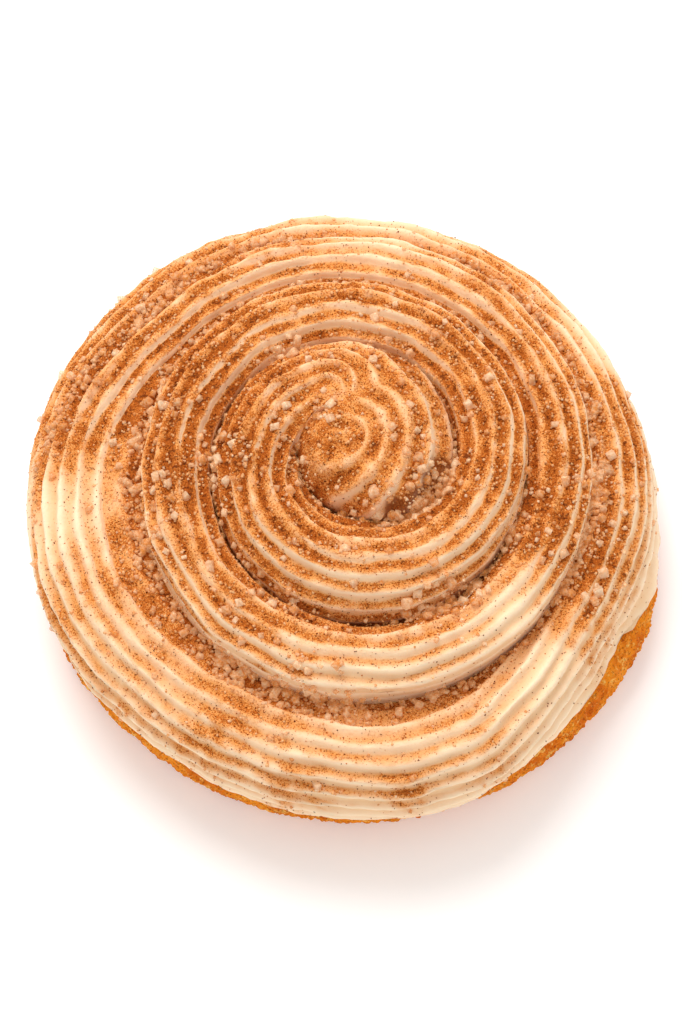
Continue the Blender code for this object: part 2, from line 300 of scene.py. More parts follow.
# the groove's distance from the axis grows by the pitch each turn, a little less each time
def grooveRadius(turn):
    along = np.sin(2 * np.pi * turn)
    radius = rope["pitchStart"] + rope["pitch"] * turn - rope["pitchLoss"] * turn ** 2
    radius = radius + rope["oval"] * (along ** 2 + np.clip(-along, 0, 1) ** 2)
    radius = radius + swells(turn, rope["grooveSwells"])
    radius = mix(rope["innerRadius"], radius, smooth(*changes["spiral"], turn))
    opening = (turn - rope["poleTurn"]) / (rope["startTurn"] - rope["poleTurn"])
    poleReach = np.linalg.norm(rope["pole"] - rope["axis"])
    inner = mix(poleReach, rope["innerRadius"], np.clip(opening, 0, 1))
    return np.where(turn < rope["startTurn"], inner, radius)


def grooveDepth(turn):
    depth = mix(rope["grooveDeep"], rope["grooveShallow"], smooth(*changes["shallow"], turn))
    depth = depth + rope["grooveTilt"] * np.cos(2 * np.pi * (turn - rope["deepSide"]))
    return depth - swells(turn, rope["grooveFills"])


# half the slit between two coils; at the right of the front the grooves gape
def grooveGape(turn):
    return rope["slit"] + swells(turn, rope["gapes"])


# the icing's lower edge hangs over the cookie's side, stops higher along the front, and is ragged
def hemPoint(angle):
    height = rope["hemHeight"] + (0.4 * np.sin(5 * angle + 1) + 0.3 * np.sin(11 * angle)) * mm
    height = height + lobes(angle, rope["hemRises"])
    radius = cookieReach(angle) - cookieInset(height) + rope["gap"] + rope["lip"]
    edge = heading(angle) * cookie["radius"]
    radius = radius + np.clip(uneven(edge, rope["hemTears"]), -0.3, 0.4) * mm
    height = height + uneven(edge, rope["hemRagged"]) * mm
    return cookie["centre"] + heading(angle) * radius[:, None], height


# plan point and height of the groove at each turn: the pole before poleTurn, and past sinkTurn it
# slides down the outer wall until it is the lower edge
def edgePoint(turn):
    angle = 2 * np.pi * turn
    radius = grooveRadius(turn)
    plan = rope["axis"] + heading(angle) * radius[:, None]
    height = crestHeight(plan) - grooveDepth(turn)
    plan = np.where((turn < rope["poleTurn"])[:, None], rope["pole"], plan)
    opening = smooth(rope["poleTurn"], rope["openTurn"], turn) ** 2
    height = mix(rope["height"] - rope["poleDepth"], height, opening)

    # seen from the last coil's centre, the groove and the hem each have a direction and a distance
    centre = reachFromAxis(angle) - rope["radius"]
    middle = rope["lastCoilHeight"]
    hemPlan, hemTop = hemPoint(angle)
    hemRadius = ((hemPlan - rope["axis"]) * heading(angle)).sum(-1)
    sink = smooth(rope["sinkTurn"], rope["endTurn"], turn)
    along, up = radius - centre, height - middle
    hemAlong, hemUp = hemRadius - centre, hemTop - middle
    bend = mix(np.arctan2(up, along), np.arctan2(hemUp, hemAlong), sink)
    reach = mix(np.hypot(up, along), np.hypot(hemUp, hemAlong), sink)
    reach = mix(reach, rope["radius"] - rope["sinkDip"], np.sin(np.pi * sink))
    wallPlan = rope["axis"] + heading(angle) * (centre + reach * np.cos(bend))[:, None]
    sinking = turn > rope["sinkTurn"]
    plan = np.where(sinking[:, None], wallPlan, plan)
    height = np.where(sinking, middle + reach * np.sin(bend), height)
    hemmed = turn > rope["endTurn"] - 1e-6
    plan = np.where(hemmed[:, None], rope["axis"] + heading(angle) * hemRadius[:, None], plan)
    return plan, np.where(hemmed, hemTop, height)


# ridge number inside the first coil: the distance from the point that the ridges hook round, bent
# outward towards the groove so that the outermost ridge runs along it, with fewer at the lower left,
# where ridges run off the edge
def middleRidge(plan):
    away = plan - ridges["middle"]
    distance = np.linalg.norm(away, axis=-1)
    angle = np.arctan2(away[..., 1], away[..., 0])
    turn = np.linspace(rope["poleTurn"] + 0.02, rope["poleTurn"] + 1, 400)
    edge = edgePoint(turn)[0] - ridges["middle"]
    edgeAngle = np.arctan2(edge[:, 1], edge[:, 0]) % (2 * np.pi)
    order = np.argsort(edgeAngle)
    edgeReach = np.linalg.norm(edge, axis=-1)
    reach = np.interp(angle % (2 * np.pi), edgeAngle[order], edgeReach[order], period=2 * np.pi)
    degrees = np.degrees(angle)
    west = np.where(degrees > ridges["cutSide"], degrees - 360, degrees)
    count = ridges["middleCount"] - ridges["runOff"] * smooth(*ridges["runOffSides"], west)
    stretch = (count - reach / ridges["middleSpacing"]) * smooth(*ridges["stretchSides"], west)
    share = np.clip(distance / reach, 0, 1.2)
    number = distance / ridges["middleSpacing"] + stretch * share ** 1.2
    number = number - ridges["hook"] * west / 180 * smooth(*ridges["hookReach"], distance)
    dying = np.abs((degrees - ridges["dyingSide"] + 180) % 360 - 180)
    return number, smooth(*ridges["dyingWidth"], dying) * smooth(*ridges["middleFade"], distance)


# the rope's skin: one row of points for each turn, from the groove on its inner side over its crest
# to the groove on its outer side. A row is a slice of the round rope, drawn by the angle about its
# centre, and its ends bend to meet the two grooves. Also the ridges: 0 in a valley, 1 on a crest
def ropeRows(turn, share):
    angle = 2 * np.pi * turn
    radial = heading(angle)
    inner, innerHeight = edgePoint(turn)
    outer, outerHeight = edgePoint(turn + 1)
    across = outer - inner
    length = np.linalg.norm(across, axis=-1)
    across = np.where((length > 1e-6)[:, None], across / np.maximum(length, 1e-6)[:, None], radial)
    across = mix(across, radial, smooth(*changes["radial"], turn)[:, None])
    across = across / np.linalg.norm(across, axis=-1)[:, None]
    length = ((outer - inner) * across).sum(-1)

    size = rope["radius"]
    toOuterCoil = smooth(*changes["outer"], turn)
    halfWidth = mix(size, length / 2, smooth(*changes["halfWidth"], turn))
    outerCentre = reachFromAxis(angle) - size - ((inner - rope["axis"]) * radial).sum(-1)
    centre = mix(length - halfWidth, outerCentre, toOuterCoil)
    centreHeight = crestHeight(inner + across * centre[:, None]) - size
    centreHeight = mix(centreHeight, rope["lastCoilHeight"], toOuterCoil)

    fromAngle = np.arctan2(innerHeight - centreHeight, -centre)
    fromAngle = np.where(fromAngle < -np.pi / 2, fromAngle + 2 * np.pi, fromAngle)
    toAngle = np.arctan2(outerHeight - centreHeight, length - centre)
    fromRadius = np.hypot(innerHeight - centreHeight, centre)[:, None]
    toRadius = np.hypot(outerHeight - centreHeight, length - centre)[:, None]

    t = share[None, :]
    bend = mix(fromAngle[:, None], toAngle[:, None], t)
    span = (fromAngle - toAngle)[:, None]
    late = mix(4, 8, toOuterCoil)[:, None]
    radius = size + (fromRadius - size) * (1 - t) ** 7 + (toRadius - size) * t ** late
    straight = mix(fromRadius, toRadius, t)
    thin = straight + smooth(0, 1, span) * (size - straight) * np.sqrt(np.abs(np.sin(np.pi * t)))
    sink = smooth(rope["sinkTurn"], rope["endTurn"], turn)[:, None]
    wide = smooth(2 * mm, 7 * mm, length) + smooth(*changes["full"], turn)
    radius = mix(straight, radius, np.minimum(wide, 1)[:, None])
    radius = mix(radius, thin, sink)

    # ridge number across the strip: by the angle about the rope's centre, along the sinking groove
    # near the end, and by its own rule in the first coil
    perRadian = ridges["round"] / (2 * np.pi)
    number = (fromAngle - np.pi / 2)[:, None] * smooth(*changes["ridgesSink"], turn)[:, None] * perRadian
    number = number + (np.pi / 2 - bend) * perRadian
    early = (toAngle[:, None] - np.pi / 2) * perRadian + ridges["middleCount"]
    number = number + early * smooth(*changes["ridgesEarly"], turn)[:, None]
    flatReach = centre[:, None] + radius * np.cos(bend)
    plan = inner[:, None, :] + across[:, None, :] * flatReach[..., None]
    middle, alive = middleRidge(plan)
    inMiddle = smooth(*changes["middleRidges"], turn)[:, None]
    number = mix(number, middle, inMiddle)
    alive = mix(1, alive, inMiddle)
    place = np.concatenate([plan, (centreHeight[:, None] + radius * np.sin(bend))[..., None]], -1)
    number = number + ridges["wobble"] * wavy(place, ridges["wobbleSize"], 3)
    crest = (0.5 + 0.5 * np.cos(2 * np.pi * number)) ** ridges["narrow"]
    strength = 1 + uneven(place, ridges["strength"])
    fromSoft = np.linalg.norm(plan - ridges["soft"], axis=-1) / ridges["softReach"]
    strength = strength * (1 - ridges["softening"] * np.exp(-fromSoft ** 2))
    strength = np.clip(strength, ridges["weakest"], ridges["strongest"])

    # the ridges fade into the grooves, sooner at the rear of a coil's inner side, but not at the hem
    rear = smooth(0.1, 0.9, np.sin(angle))[:, None] * smooth(*changes["rear"], turn)[:, None]
    inside, outside = ridges["innerFade"], ridges["outerFade"]
    atEnds = smooth(0, inside + ridges["rearFade"] * rear, t) * smooth(0, outside, 1 - t)
    atHem = smooth(*changes["hem"], turn)[:, None]
    atEnds = mix(atEnds, smooth(0, inside, t) * smooth(-0.06, outside, 1 - t), atHem)
    nearPole = np.linalg.norm(plan - rope["pole"], axis=-1)
    fade = atEnds * smooth(0, 0.9, span) * smooth(0, ridges["narrowFade"], length)[:, None] * alive
    fade = fade * smooth(*ridges["poleFade"], nearPole)
    radius = radius + ridges["height"] * (crest - ridges["level"]) * fade * strength

    # no row reaches past the middle of the slit to the next coil, but for the open sides
    reach = centre[:, None] + radius * np.cos(bend)
    height = centreHeight[:, None] + radius * np.sin(bend)
    outerSlit = rope["slit"] * smooth(rope["poleTurn"], rope["openTurn"], turn + 1)[:, None]
    innerSlit = (grooveGape(turn) * smooth(rope["poleTurn"], rope["openTurn"], turn))[:, None]
    beyond = 20 * mm
    free = beyond * smooth(*changes["freeOutside"], turn)[:, None]
    outerLimit = length[:, None] - outerSlit * smooth(0, 0.05, 1 - t) + free
    freeInside = smooth(*changes["freeInside"], turn)[:, None] + (turn < rope["poleTurn"])[:, None]
    innerLimit = innerSlit * smooth(0, 0.05, t) - beyond * freeInside
    reach = np.clip(reach, innerLimit, np.maximum(outerLimit, innerLimit))
    plan = inner[:, None, :] + across[:, None, :] * reach[..., None]
    points = np.concatenate([plan, height[..., None]], -1)
    return points, mix(rope["crestAtPole"], crest, fade)


# ring round the space that the icing leaves for the cookie
def underRing(angle, height, inset):
    radius = cookieReach(angle) - inset + rope["gap"]
    plan = cookie["centre"] + heading(angle) * radius[:, None]
    return np.concatenate([plan, (height * np.ones_like(angle))[:, None]], -1)


# the sheet of rows, each turn's outer side joined to the next turn's inner side, then closed below
def makeIcing():
    steps, columns = rope["stepsPerTurn"], rope["columns"]
    firstStep = math.ceil((rope["poleTurn"] - 1) * steps)
    turn = np.arange(firstStep, round(rope["endTurn"] * steps) + 1) / steps
    share = np.linspace(0, 1, columns + 1)
    rows, crest = ropeRows(turn, share)
    count = len(turn)
    # point numbers: 0 is the pole, and a row begins with the last point of the row one turn before
    index = np.zeros((count, columns + 1), int)
    index[1:, 1:] = 1 + np.arange((count - 1) * columns).reshape(count - 1, columns)
    leaves = np.flatnonzero(turn >= rope["poleTurn"])
    index[leaves, 0] = index[leaves - steps, columns]
    index[-1, 1:] = index[-1, 0]
    points = np.concatenate([rows[0, :1], rows[1:, 1:].reshape(-1, 3)])
    crestOf = np.concatenate([[rope["crestAtPole"]], crest[1:, 1:].ravel()])
    # distance from the nearer groove, as a share of the strip's width
    groove = np.minimum(share, 1 - share)[None, :] * np.ones((count, 1))
    isHem = (turn > rope["endTurn"] - 1)[:, None] & (share > 0.5)[None, :]
    groove = np.where(isHem, share[None, :], groove)
    groove = np.where((turn < rope["startTurn"])[:, None] & (share < 0.5)[None, :], 0.5, groove)
    grooveOf = np.concatenate([[0.5], groove[1:, 1:].ravel()])
    turnOf = np.concatenate([[0], np.repeat(turn[1:], columns)])
    shareOf = np.concatenate([[0], np.tile(share[1:], count - 1)])
    faces = [gridFaces(index)]

    # from the hem, rings follow the cookie's profile up and over its rim to the middle
    lastTurn = slice(count - 1 - steps, count - 1)
    hem = index[lastTurn, columns]
    angle = 2 * np.pi * turn[lastTurn]
    level = points[hem, 2]
    rings = [underRing(angle, level, cookieInset(level))]
    for height in cookie["profile"][4:6, 1]:
        level = np.maximum(level + rope["gap"], height + rope["gap"])
        rings.append(underRing(angle, level, cookieInset(level - rope["gap"])))
    inset, height = cookie["profile"][-1]
    rings.append(underRing(angle, height + rope["gap"], inset))
    rings.append(underRing(angle, cookie["crown"] + rope["gap"], 0.45 * cookie["radius"]))
    loops = [hem]
    for ring in rings:
        loops.append(len(points) + np.arange(steps))
        points = np.concatenate([points, ring])
    grid = np.stack([np.append(loop, loop[0]) for loop in loops])
    faces.append(gridFaces(grid)[:, ::-1])
    last = loops[-1]
    middle = np.full(steps, len(points))
    faces.append(np.stack([last, middle, np.roll(last, -1)], -1))
    points = np.concatenate([points, [[*cookie["centre"], cookie["top"] + rope["gap"]]]])
    faces = np.concatenate(faces)
    under = len(points) - len(crestOf)

    # hand-made unevenness, but not down in the grooves, where coils would touch, nor underneath
    normals = pointNormals(points, faces)
    openness = smooth(0.0, 0.12, np.append(grooveOf, np.zeros(under)))
    points = points + normals * (uneven(points, rope["lumps"]) * mm * openness)[:, None]
    icing = meshFrom("icing_rope", points, faces)
    icing.data.shade_smooth()
    normals = pointNormals(points, faces)
    pad = np.zeros(under)
    fields = {
        "points": points, "faces": faces, "normals": normals,
        "crest": np.append(crestOf, pad), "groove": np.append(grooveOf, pad + 0.5),
        "turn": np.append(turnOf, pad), "share": np.append(shareOf, pad), "top": len(crestOf),
    }
    print("icing:", len(faces), "triangles")
    return icing, fields


icing, skin = makeIcing()
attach(icing, "root")
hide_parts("icing")


# ---- materials. Shader maths is written as expressions on wrapped sockets

class Signal:
    def __init__(self, board, socket):
        self.board = board
        self.socket = socket

    def math(self, operation, first, second):
        return self.board.add('ShaderNodeMath', {"operation": operation}, {0: first, 1: second})

    def __add__(self, other):
        return self.math('ADD', self, other)

    def __radd__(self, other):
        return self.math('ADD', other, self)

    def __sub__(self, other):
        return self.math('SUBTRACT', self, other)

    def __rsub__(self, other):
        return self.math('SUBTRACT', other, self)

    def __mul__(self, other):
        return self.math('MULTIPLY', self, other)

    def __rmul__(self, other):
        return self.math('MULTIPLY', other, self)


class Board:
    def __init__(self, name):
        self.material = bpy.data.materials.new(name)
        self.material.use_nodes = True
        self.tree = self.material.node_tree
        self.shader = self.tree.nodes["Principled BSDF"]

    # a node of a type, with its settings, then its inputs; the wrapped output named last
    def add(self, kind, settings, inputs, output=0):
        node = self.tree.nodes.new(kind)
        for key, value in settings.items():
            setattr(node, key, value)
        for key, value in inputs.items():
            self.feed(node.inputs[key], value)
        return Signal(self, node.outputs[output])

    def feed(self, socket, value):
        if isinstance(value, Signal):
            self.tree.links.new(value.socket, socket)
        else:
            socket.default_value = value

    def set(self, **values):
        for key, value in values.items():
            self.feed(self.shader.inputs[key.replace("_", " ")], value)

    def place(self):
        return self.add('ShaderNodeTexCoord', {}, {}, "Object")

    def value(self, name):
        return self.add('ShaderNodeAttribute', {"attribute_name": name}, {}, "Fac")

    # smooth noise around 0.5; size is the length of a bump in metres
    def noise(self, place, size, detail=2.0, rough=0.55):
        inputs = {"Vector": place, "Scale": 1 / size, "Detail": detail, "Roughness": rough}
        return self.add('ShaderNodeTexNoise', {}, inputs, "Fac")

    # distance to the nearest of many scattered points
    def cells(self, place, size):
        return self.add('ShaderNodeTexVoronoi', {}, {"Vector": place, "Scale": 1 / size}, "Distance")

    # 0 below low, 1 above high, smooth between
    def step(self, value, low, high):
        settings = {"interpolation_type": 'SMOOTHSTEP'}
        return self.add('ShaderNodeMapRange', settings, {"Value": value, "From Min": low, "From Max": high})

    # two colours mixed
    def blend(self, share, first, second):
        settings = {"data_type": 'RGBA', "blend_type": 'MIX', "clamp_factor": True}
        return self.add('ShaderNodeMix', settings, {0: share, 6: first, 7: second}, 2)

    # a colour laid over another where a field is high, and sooner so where the amount is large
    def layer(self, colour, field, amount, over, low, high, sooner, cover):
        mask = self.step(field, low - sooner * amount, high - sooner * amount)
        return self.blend(mask * cover, colour, over)

    def relief(self, height, depth, strength):
        inputs = {"Height": height, "Distance": depth, "Strength": strength}
        self.set(Normal=self.add('ShaderNodeBump', {}, inputs))


# a screen colour, 0 to 255, as a linear one
def tint(red, green, blue):
    shades = [(shade / 255 + 0.055) / 1.055 for shade in (red, green, blue)]
    return (*[shade ** 2.4 for shade in shades], 1)


icingLook = {
    "cream": tint(252, 224, 190),
    "shade": tint(234, 190, 142),        # painted shade in the valleys between ridges
    "tan": tint(228, 148, 68),           # under the thickest cinnamon
    "powder": tint(198, 106, 28),        # where fine cinnamon has tinted it
    "cinnamon": tint(156, 74, 18),
    "dark": tint(88, 36, 10),
    "grooveShade": tint(122, 54, 10),            # painted shade down in the grooves and gaps, a dark cinnamon brown
    "patch": 2.6 * mm,                   # lengths of the noises' bumps
    "grain": 0.34 * mm,
    "speck": 0.15 * mm,
    "rare": 0.9 * mm,
    # layers over the tan: noise from where and to where they set in, how much sooner under thick
    # cinnamon, and how much they cover
    "powderLayer": (0.76, 0.84, 0.30, 0.85),
    "speckLayer": (0.95, 0.99, 0.27, 0.9),
    "rareLayer": (0.80, 0.83, 0.16, 0.7),
    "specular": 0.14,
    "soak": (1.0, 0.7, 0.45),            # how far red, green and blue light go in, as shares of the depth
    "soakDepth": 1.2 * mm,
    "reliefDepth": 0.30 * mm,
    "fine": 0.5 * mm,
    "bead": 0.55 * mm,
}


def icingMaterial():
    look = icingLook
    board = Board("icing_cream")
    place = board.place()
    dust = board.value("dust")
    crest = board.value("crest")
    # deep: how much painted shade lies in the grooves and brown gaps
    deep = board.value("deep")
    patches = board.noise(place, look["patch"])
    grain = board.noise(place, look["grain"], 3.0, 0.6)
    speck = board.noise(place, look["speck"], 1.0, 0.5)
    rare = board.noise(place, look["rare"], 2.0, 0.7)
    # painted shade: the valleys between ridges are coloured darker than the crests
    colour = board.blend((1 - crest) * 0.8, look["cream"], look["shade"])
    amount = dust * (0.7 + 0.6 * patches)
    colour = board.blend(board.step(amount, 0.0, 0.9) * 0.9, colour, look["tan"])
    colour = board.layer(colour, grain, amount, look["powder"], *look["powderLayer"])
    colour = board.layer(colour, speck + 0.25 * grain, amount, look["cinnamon"], *look["speckLayer"])
    colour = board.layer(colour, rare, amount, look["dark"], *look["rareLayer"])
    # painted shade in the grooves and brown gaps, mottled by the grain
    colour = board.blend(board.step(deep, 0.1, 0.9) * (0.65 + 0.4 * grain), colour, look["grooveShade"])
    board.set(Base_Color=colour, Roughness=0.55 + 0.25 * dust, Specular_IOR_Level=look["specular"])
    board.set(Subsurface_Weight=0.12, Subsurface_Scale=look["soakDepth"], Subsurface_Radius=look["soak"])
    relief = board.noise(place, look["fine"], 3.0, 0.6) * (0.35 + 0.9 * dust)
    relief = relief + board.cells(place, look["bead"]) * dust * 0.5
    board.relief(relief, look["reliefDepth"], 0.8)
    return board.material


cookieLook = {
    "baked": tint(250, 150, 34),
    "pale": tint(255, 204, 106),
    "brown": tint(218, 106, 16),
    "toasted": tint(140, 56, 8),
    "patch": 6 * mm,             # lengths of the noises' bumps
    "crumb": 1.3 * mm,
    "fine": 0.45 * mm,
    "reliefDepth": 0.7 * mm,
}


def cookieMaterial():
    look = cookieLook
    board = Board("cookie_crumb")
    place = board.place()
    patches = board.noise(place, look["patch"], 3.0, 0.6)
    crumbs = board.noise(place, look["crumb"], 4.0, 0.65)
    fine = board.noise(place, look["fine"], 2.0, 0.6)
    colour = board.blend(board.step(patches, 0.38, 0.66), look["baked"], look["brown"])
    colour = board.blend(board.step(crumbs, 0.52, 0.66) * 0.8, colour, look["pale"])
    colour = board.blend(board.step(fine, 0.55, 0.64) * 0.6, colour, look["toasted"])
    board.set(Base_Color=colour, Roughness=0.72, Specular_IOR_Level=0.08)
    board.set(Subsurface_Weight=0.08, Subsurface_Scale=1.0 * mm)
    board.relief(crumbs + 0.6 * fine, look["reliefDepth"], 0.9)
    return board.material


crystalLook = {
    "cloud": 0.5 * mm,
    "sheen": tint(255, 216, 160),
    "glow": tint(255, 182, 104),         # painted glow: emission standing in for light that has come through other crystals
    "glowStrength": 0.12,
}


# half clear sugar; each grain has its own tone between two colours, with cloudy patches and a faint painted
# glow
def crystalMaterial(name, kind):
    look = crystalLook
    board = Board(name)
    cloudy = board.noise(board.place(), look["cloud"])
    share = 0.75 * board.value("tone") + 0.5 * (board.step(cloudy, 0.3, 0.7) - 0.25)
    board.set(Base_Color=board.blend(share, *kind["colours"]))
    board.set(Roughness=kind["roughness"], IOR=1.5, Specular_IOR_Level=0.42, Alpha=kind["alpha"])
    board.set(Specular_Tint=look["sheen"])
    # painted light: the grains glow faintly, as though lit through, though they are no lamp
    board.set(Emission_Color=look["glow"], Emission_Strength=look["glowStrength"])
    return board.material


def cinnamonMaterial(name, kind):
    board = Board(name)
    board.set(Base_Color=board.blend(board.value("tone"), *kind["colours"]))
    board.set(Roughness=0.8, Specular_IOR_Level=0.04)
    return board.material


# ---- where the cinnamon sugar lies. It was sprinkled from above and behind, so the flanks that face
# away from that stay pale. Places of the thick and bare stretches: x, y, width in mm, how much

dusting = {
    "from": np.array([-0.25, 0.40, 0.88]),
    "base": 1.06,
    "stretches": [
        (-23, 18, 11, 0.55), (-15, 3, 9, 0.60), (-24, 0, 7, 0.95), (34, 10, 14, 0.22), (0, -4, 8, 0.10),
        (20, 20, 12, 0.12), (40, -8, 9, 0.12), (-12, -24, 9, 0.05), (6, 50, 17, -0.75), (43, 30, 12, -0.80),
        (2, 33, 8, 0.35), (2, -38, 9, -0.45), (26, -20, 7, -0.32), (33, -32, 8, -0.30), (-38, -2, 8, -0.20),
        (2, 8, 8, -0.15), (-26, -32, 8, -0.20), (2, 24, 7, -0.20),
        (-50, -6, 13, -0.82), (-40, 0, 6, -0.15), (-36, -32, 12, -0.55), (-14, -46, 15, -0.46),
        (20, -42, 17, -0.46), (38, -33, 12, -0.50), (52, -10, 8, -0.45), (10, -20, 8, -0.18),
        (12, -33, 10, -0.12), (28, -25, 7, -0.30),
    ],
    "waves": [(0.18, 8, 21), (0.14, 3, 22)],
    # patches on walls and flanks that face away: x, y, width in mm, how much
    "patches": [
        (-9, -50, 4, 0.35), (10, -51, 3.5, 0.3), (42, -14, 7, 0.35), (42, -26, 6, 0.30),
        (-20, -42, 6, 0.30), (33, -5, 5, 0.3), (-34, -36, 5, 0.25), (-44, 6, 5, 0.2), (26, -46, 4, 0.25),
    ],
    "patchWaves": [(0.8, 2.5, 23)],
    # dust in the valleys between ridges and on their crests, and more on the crests at the right
    "inValley": 1.14,
    "onCrest": 0.60,
    "softCrest": 0.20,
    # dust caught in every groove, and more in the dark ones, where the extra dust is partly painted shade
    "inGroove": 0.45,
    "inDark": 0.7,
    "range": (0.02, 1.5),
    # brown gaps full of crystals, darkened with painted shade: x, y, width in mm
    "shadedGaps": [(16.2, 0.4, 2.8), (15.0, -2.4, 3.2), (12.2, -5.2, 3.2), (8.8, -7.0, 2.8)],
}

# how dark the grooves are, as painted shade that also draws more dust into them: deep and dark beside
# and under the middle and the first coil, filled with sugar elsewhere. Turn, darkness
grooveDarkness = np.array([
    (0.45, 0.0), (0.55, 1.0), (0.82, 1.0), (0.98, 0.9), (1.10, 0.25), (1.35, 0.3), (1.45, 0.8),
    (1.62, 0.6), (1.72, 0.9), (1.90, 0.9), (2.00, 0.15), (2.60, 0.1), (2.68, 0.35), (2.90, 0.35),
    (3.00, 0.0),
])


def dustAt(points, normals, crest, groove, darkness):
    way = dusting["from"] / np.linalg.norm(dusting["from"])
    facing = normals @ way
    overMiddle = smooth(16 * mm, 8 * mm, np.linalg.norm(points[:, :2] - ridges["middle"], axis=-1))
    cover = smooth(0.12 - 0.5 * overMiddle, 0.80 - 0.25 * overMiddle, facing)
    amount = dusting["base"]
    for x, y, width, more in dusting["stretches"]:
        amount = amount + more * spot(points, x, y, width)
    amount = amount * (1 + uneven(points, dusting["waves"]))
    fromSoft = np.linalg.norm(points[:, :2] - ridges["soft"], axis=-1) / ridges["softReach"]
    onCrest = dusting["onCrest"] + dusting["softCrest"] * np.exp(-fromSoft ** 2)
    streaks = mix(dusting["inValley"], onCrest, crest ** 1.4)
    caught = dusting["inGroove"] * smooth(0.16, 0.03, groove) * smooth(-0.2, 0.5, facing)
    # partly painted shade: more dust where the groove is dark
    caught = caught + dusting["inDark"] * darkness * smooth(0.36, 0.05, groove) * smooth(-0.6, 0.1, facing)
    torn = np.clip(1 + uneven(points, dusting["patchWaves"]), 0, 2)
    for x, y, width, more in dusting["patches"]:
        caught = caught + more * torn * spot(points, x, y, width)
    return np.clip(amount * cover * streaks + caught, *dusting["range"])


def finishIcing():
    top = skin["top"]
    # the turn of the nearer groove: the strip's inner one, or the outer one, which is a turn further
    grooveTurn = skin["turn"] + (skin["share"] > 0.5)
    # the painted shade of the nearer groove
    darkness = np.interp(grooveTurn, *grooveDarkness.T)
    dust = dustAt(skin["points"], skin["normals"], skin["crest"], skin["groove"], darkness)
    dust[top:] = 0
    skin["dust"] = dust
    # painted shade down in the grooves, as dark as each groove's darkness, and in the brown gaps
    deep = smooth(0.26, 0.0, skin["groove"]) * darkness
    for x, y, width in dusting["shadedGaps"]:
        away = np.hypot(skin["points"][:, 0] - x * mm, skin["points"][:, 1] - y * mm)
        deep = np.maximum(deep, smooth(width * mm, 0.4 * width * mm, away))
    deep[top:] = 0
    addValues(icing, "dust", dust)
    addValues(icing, "crest", skin["crest"])
    addValues(icing, "deep", deep)
    icing.data.materials.append(icingMaterial())


finishIcing()
print("icing dusted")


# ---- the cookie under it: its side is a broken, crumbly edge

def makeCookie():
    steps, rows = cookie["steps"], cookie["rows"]
    angle = 2 * np.pi * np.arange(steps) / steps
    profile = cookie["profile"]
    along = np.concatenate([[0], np.cumsum(np.hypot(*np.diff(profile, axis=0).T))])
    at = np.linspace(0, along[-1], rows)
    # the profile's corners rounded by averaging
    shifted = [at + shift * mm for shift in cookie["rounding"]]
    inset = np.mean([np.interp(place, along, profile[:, 0]) for place in shifted], 0)
    height = np.mean([np.interp(place, along, profile[:, 1]) for place in shifted], 0)
    inset[0], height[0] = profile[0]
    radius = cookieReach(angle)[None, :] - inset[:, None]
    plan = cookie["centre"] + heading(angle)[None, :, :] * radius[..., None]
    points = np.concatenate([plan, height[:, None, None] * np.ones((rows, steps, 1))], -1).reshape(-1, 3)
    outward = np.concatenate([heading(angle), np.zeros((steps, 1))], -1)
    outward = np.tile(outward, (rows, 1))
    crag = 0.5 + 0.5 * np.clip(uneven(points, cookie["cragWaves"]), -1, 1)
    crumb = np.clip(wavy(points, cookie["crumbSize"], 33, 24), -1, 1.2)
    onSide = smooth(0.0, cookie["sideFoot"], points[:, 2]) * smooth(*cookie["sideTop"], points[:, 2])
    move = -cookie["crag"] * crag + cookie["crumb"] * crumb
    points = points + outward * (np.minimum(move, cookie["proud"]) * (0.15 + 0.85 * onSide))[:, None]
    index = np.arange(rows * steps).reshape(rows, steps)
    index = np.concatenate([index, index[:, :1]], 1)
    faces = [gridFaces(index)[:, ::-1]]
    for loop, level, flip in ((index[0, :-1], 0.0, False), (index[-1, :-1], cookie["top"], True)):
        middle = np.full(steps, len(points))
        fan = np.stack([loop, middle, np.roll(loop, -1)], -1)
        faces.append(fan[:, ::-1] if flip else fan)
        points = np.concatenate([points, [[*cookie["centre"], level]]])
    base = meshFrom("cookie_base", points, np.concatenate(faces))
    base.data.shade_smooth()
    base.data.materials.append(cookieMaterial())
    print("cookie:", len(base.data.polygons), "triangles")
    return base


base = makeCookie()
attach(base, "root")
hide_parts("cookie")


# ---- grains. Each kind is one mesh of many small closed shapes

# random turns of a shape: unit quaternions as matrices
def spins(draw, count):
    q = draw.normal(size=(count, 4))
    w, x, y, z = (q / np.linalg.norm(q, axis=-1, keepdims=True)).T
    rows = [[1 - 2 * (y * y + z * z), 2 * (x * y - z * w), 2 * (x * z + y * w)],
            [2 * (x * y + z * w), 1 - 2 * (x * x + z * z), 2 * (y * z - x * w)],
            [2 * (x * z - y * w), 2 * (y * z + x * w), 1 - 2 * (x * x + y * y)]]
    return np.array(rows).transpose(2, 0, 1)


# a cube with its corners cut off: the permutations of (cut, 1, 1) with all signs
def cutCube(cut):
    signs = np.array([(a, b, c) for a in (-1, 1) for b in (-1, 1) for c in (-1, 1)])
    return np.concatenate([signs * size for size in ((cut, 1, 1), (1, cut, 1), (1, 1, cut))])


def hullOf(points):
    work = bmesh.new()
    for point in points:
        work.verts.new(point)
    bmesh.ops.convex_hull(work, input=work.verts)
    bmesh.ops.triangulate(work, faces=work.faces)
    bmesh.ops.recalc_face_normals(work, faces=work.faces)
    work.verts.index_update()
    found = np.array([v.co for v in work.verts]), np.array([[v.index for v in f.verts] for f in work.faces])
    work.free()
    return found


cube = hullOf(cutCube(1.0)[:8])
chunk = hullOf(cutCube(0.62))
flake = hullOf(np.array([(1, 0, 0), (-1, 0, 0), (0, 1, 0), (0, -1, 0), (0, 0, 1), (0, 0, -1)]))


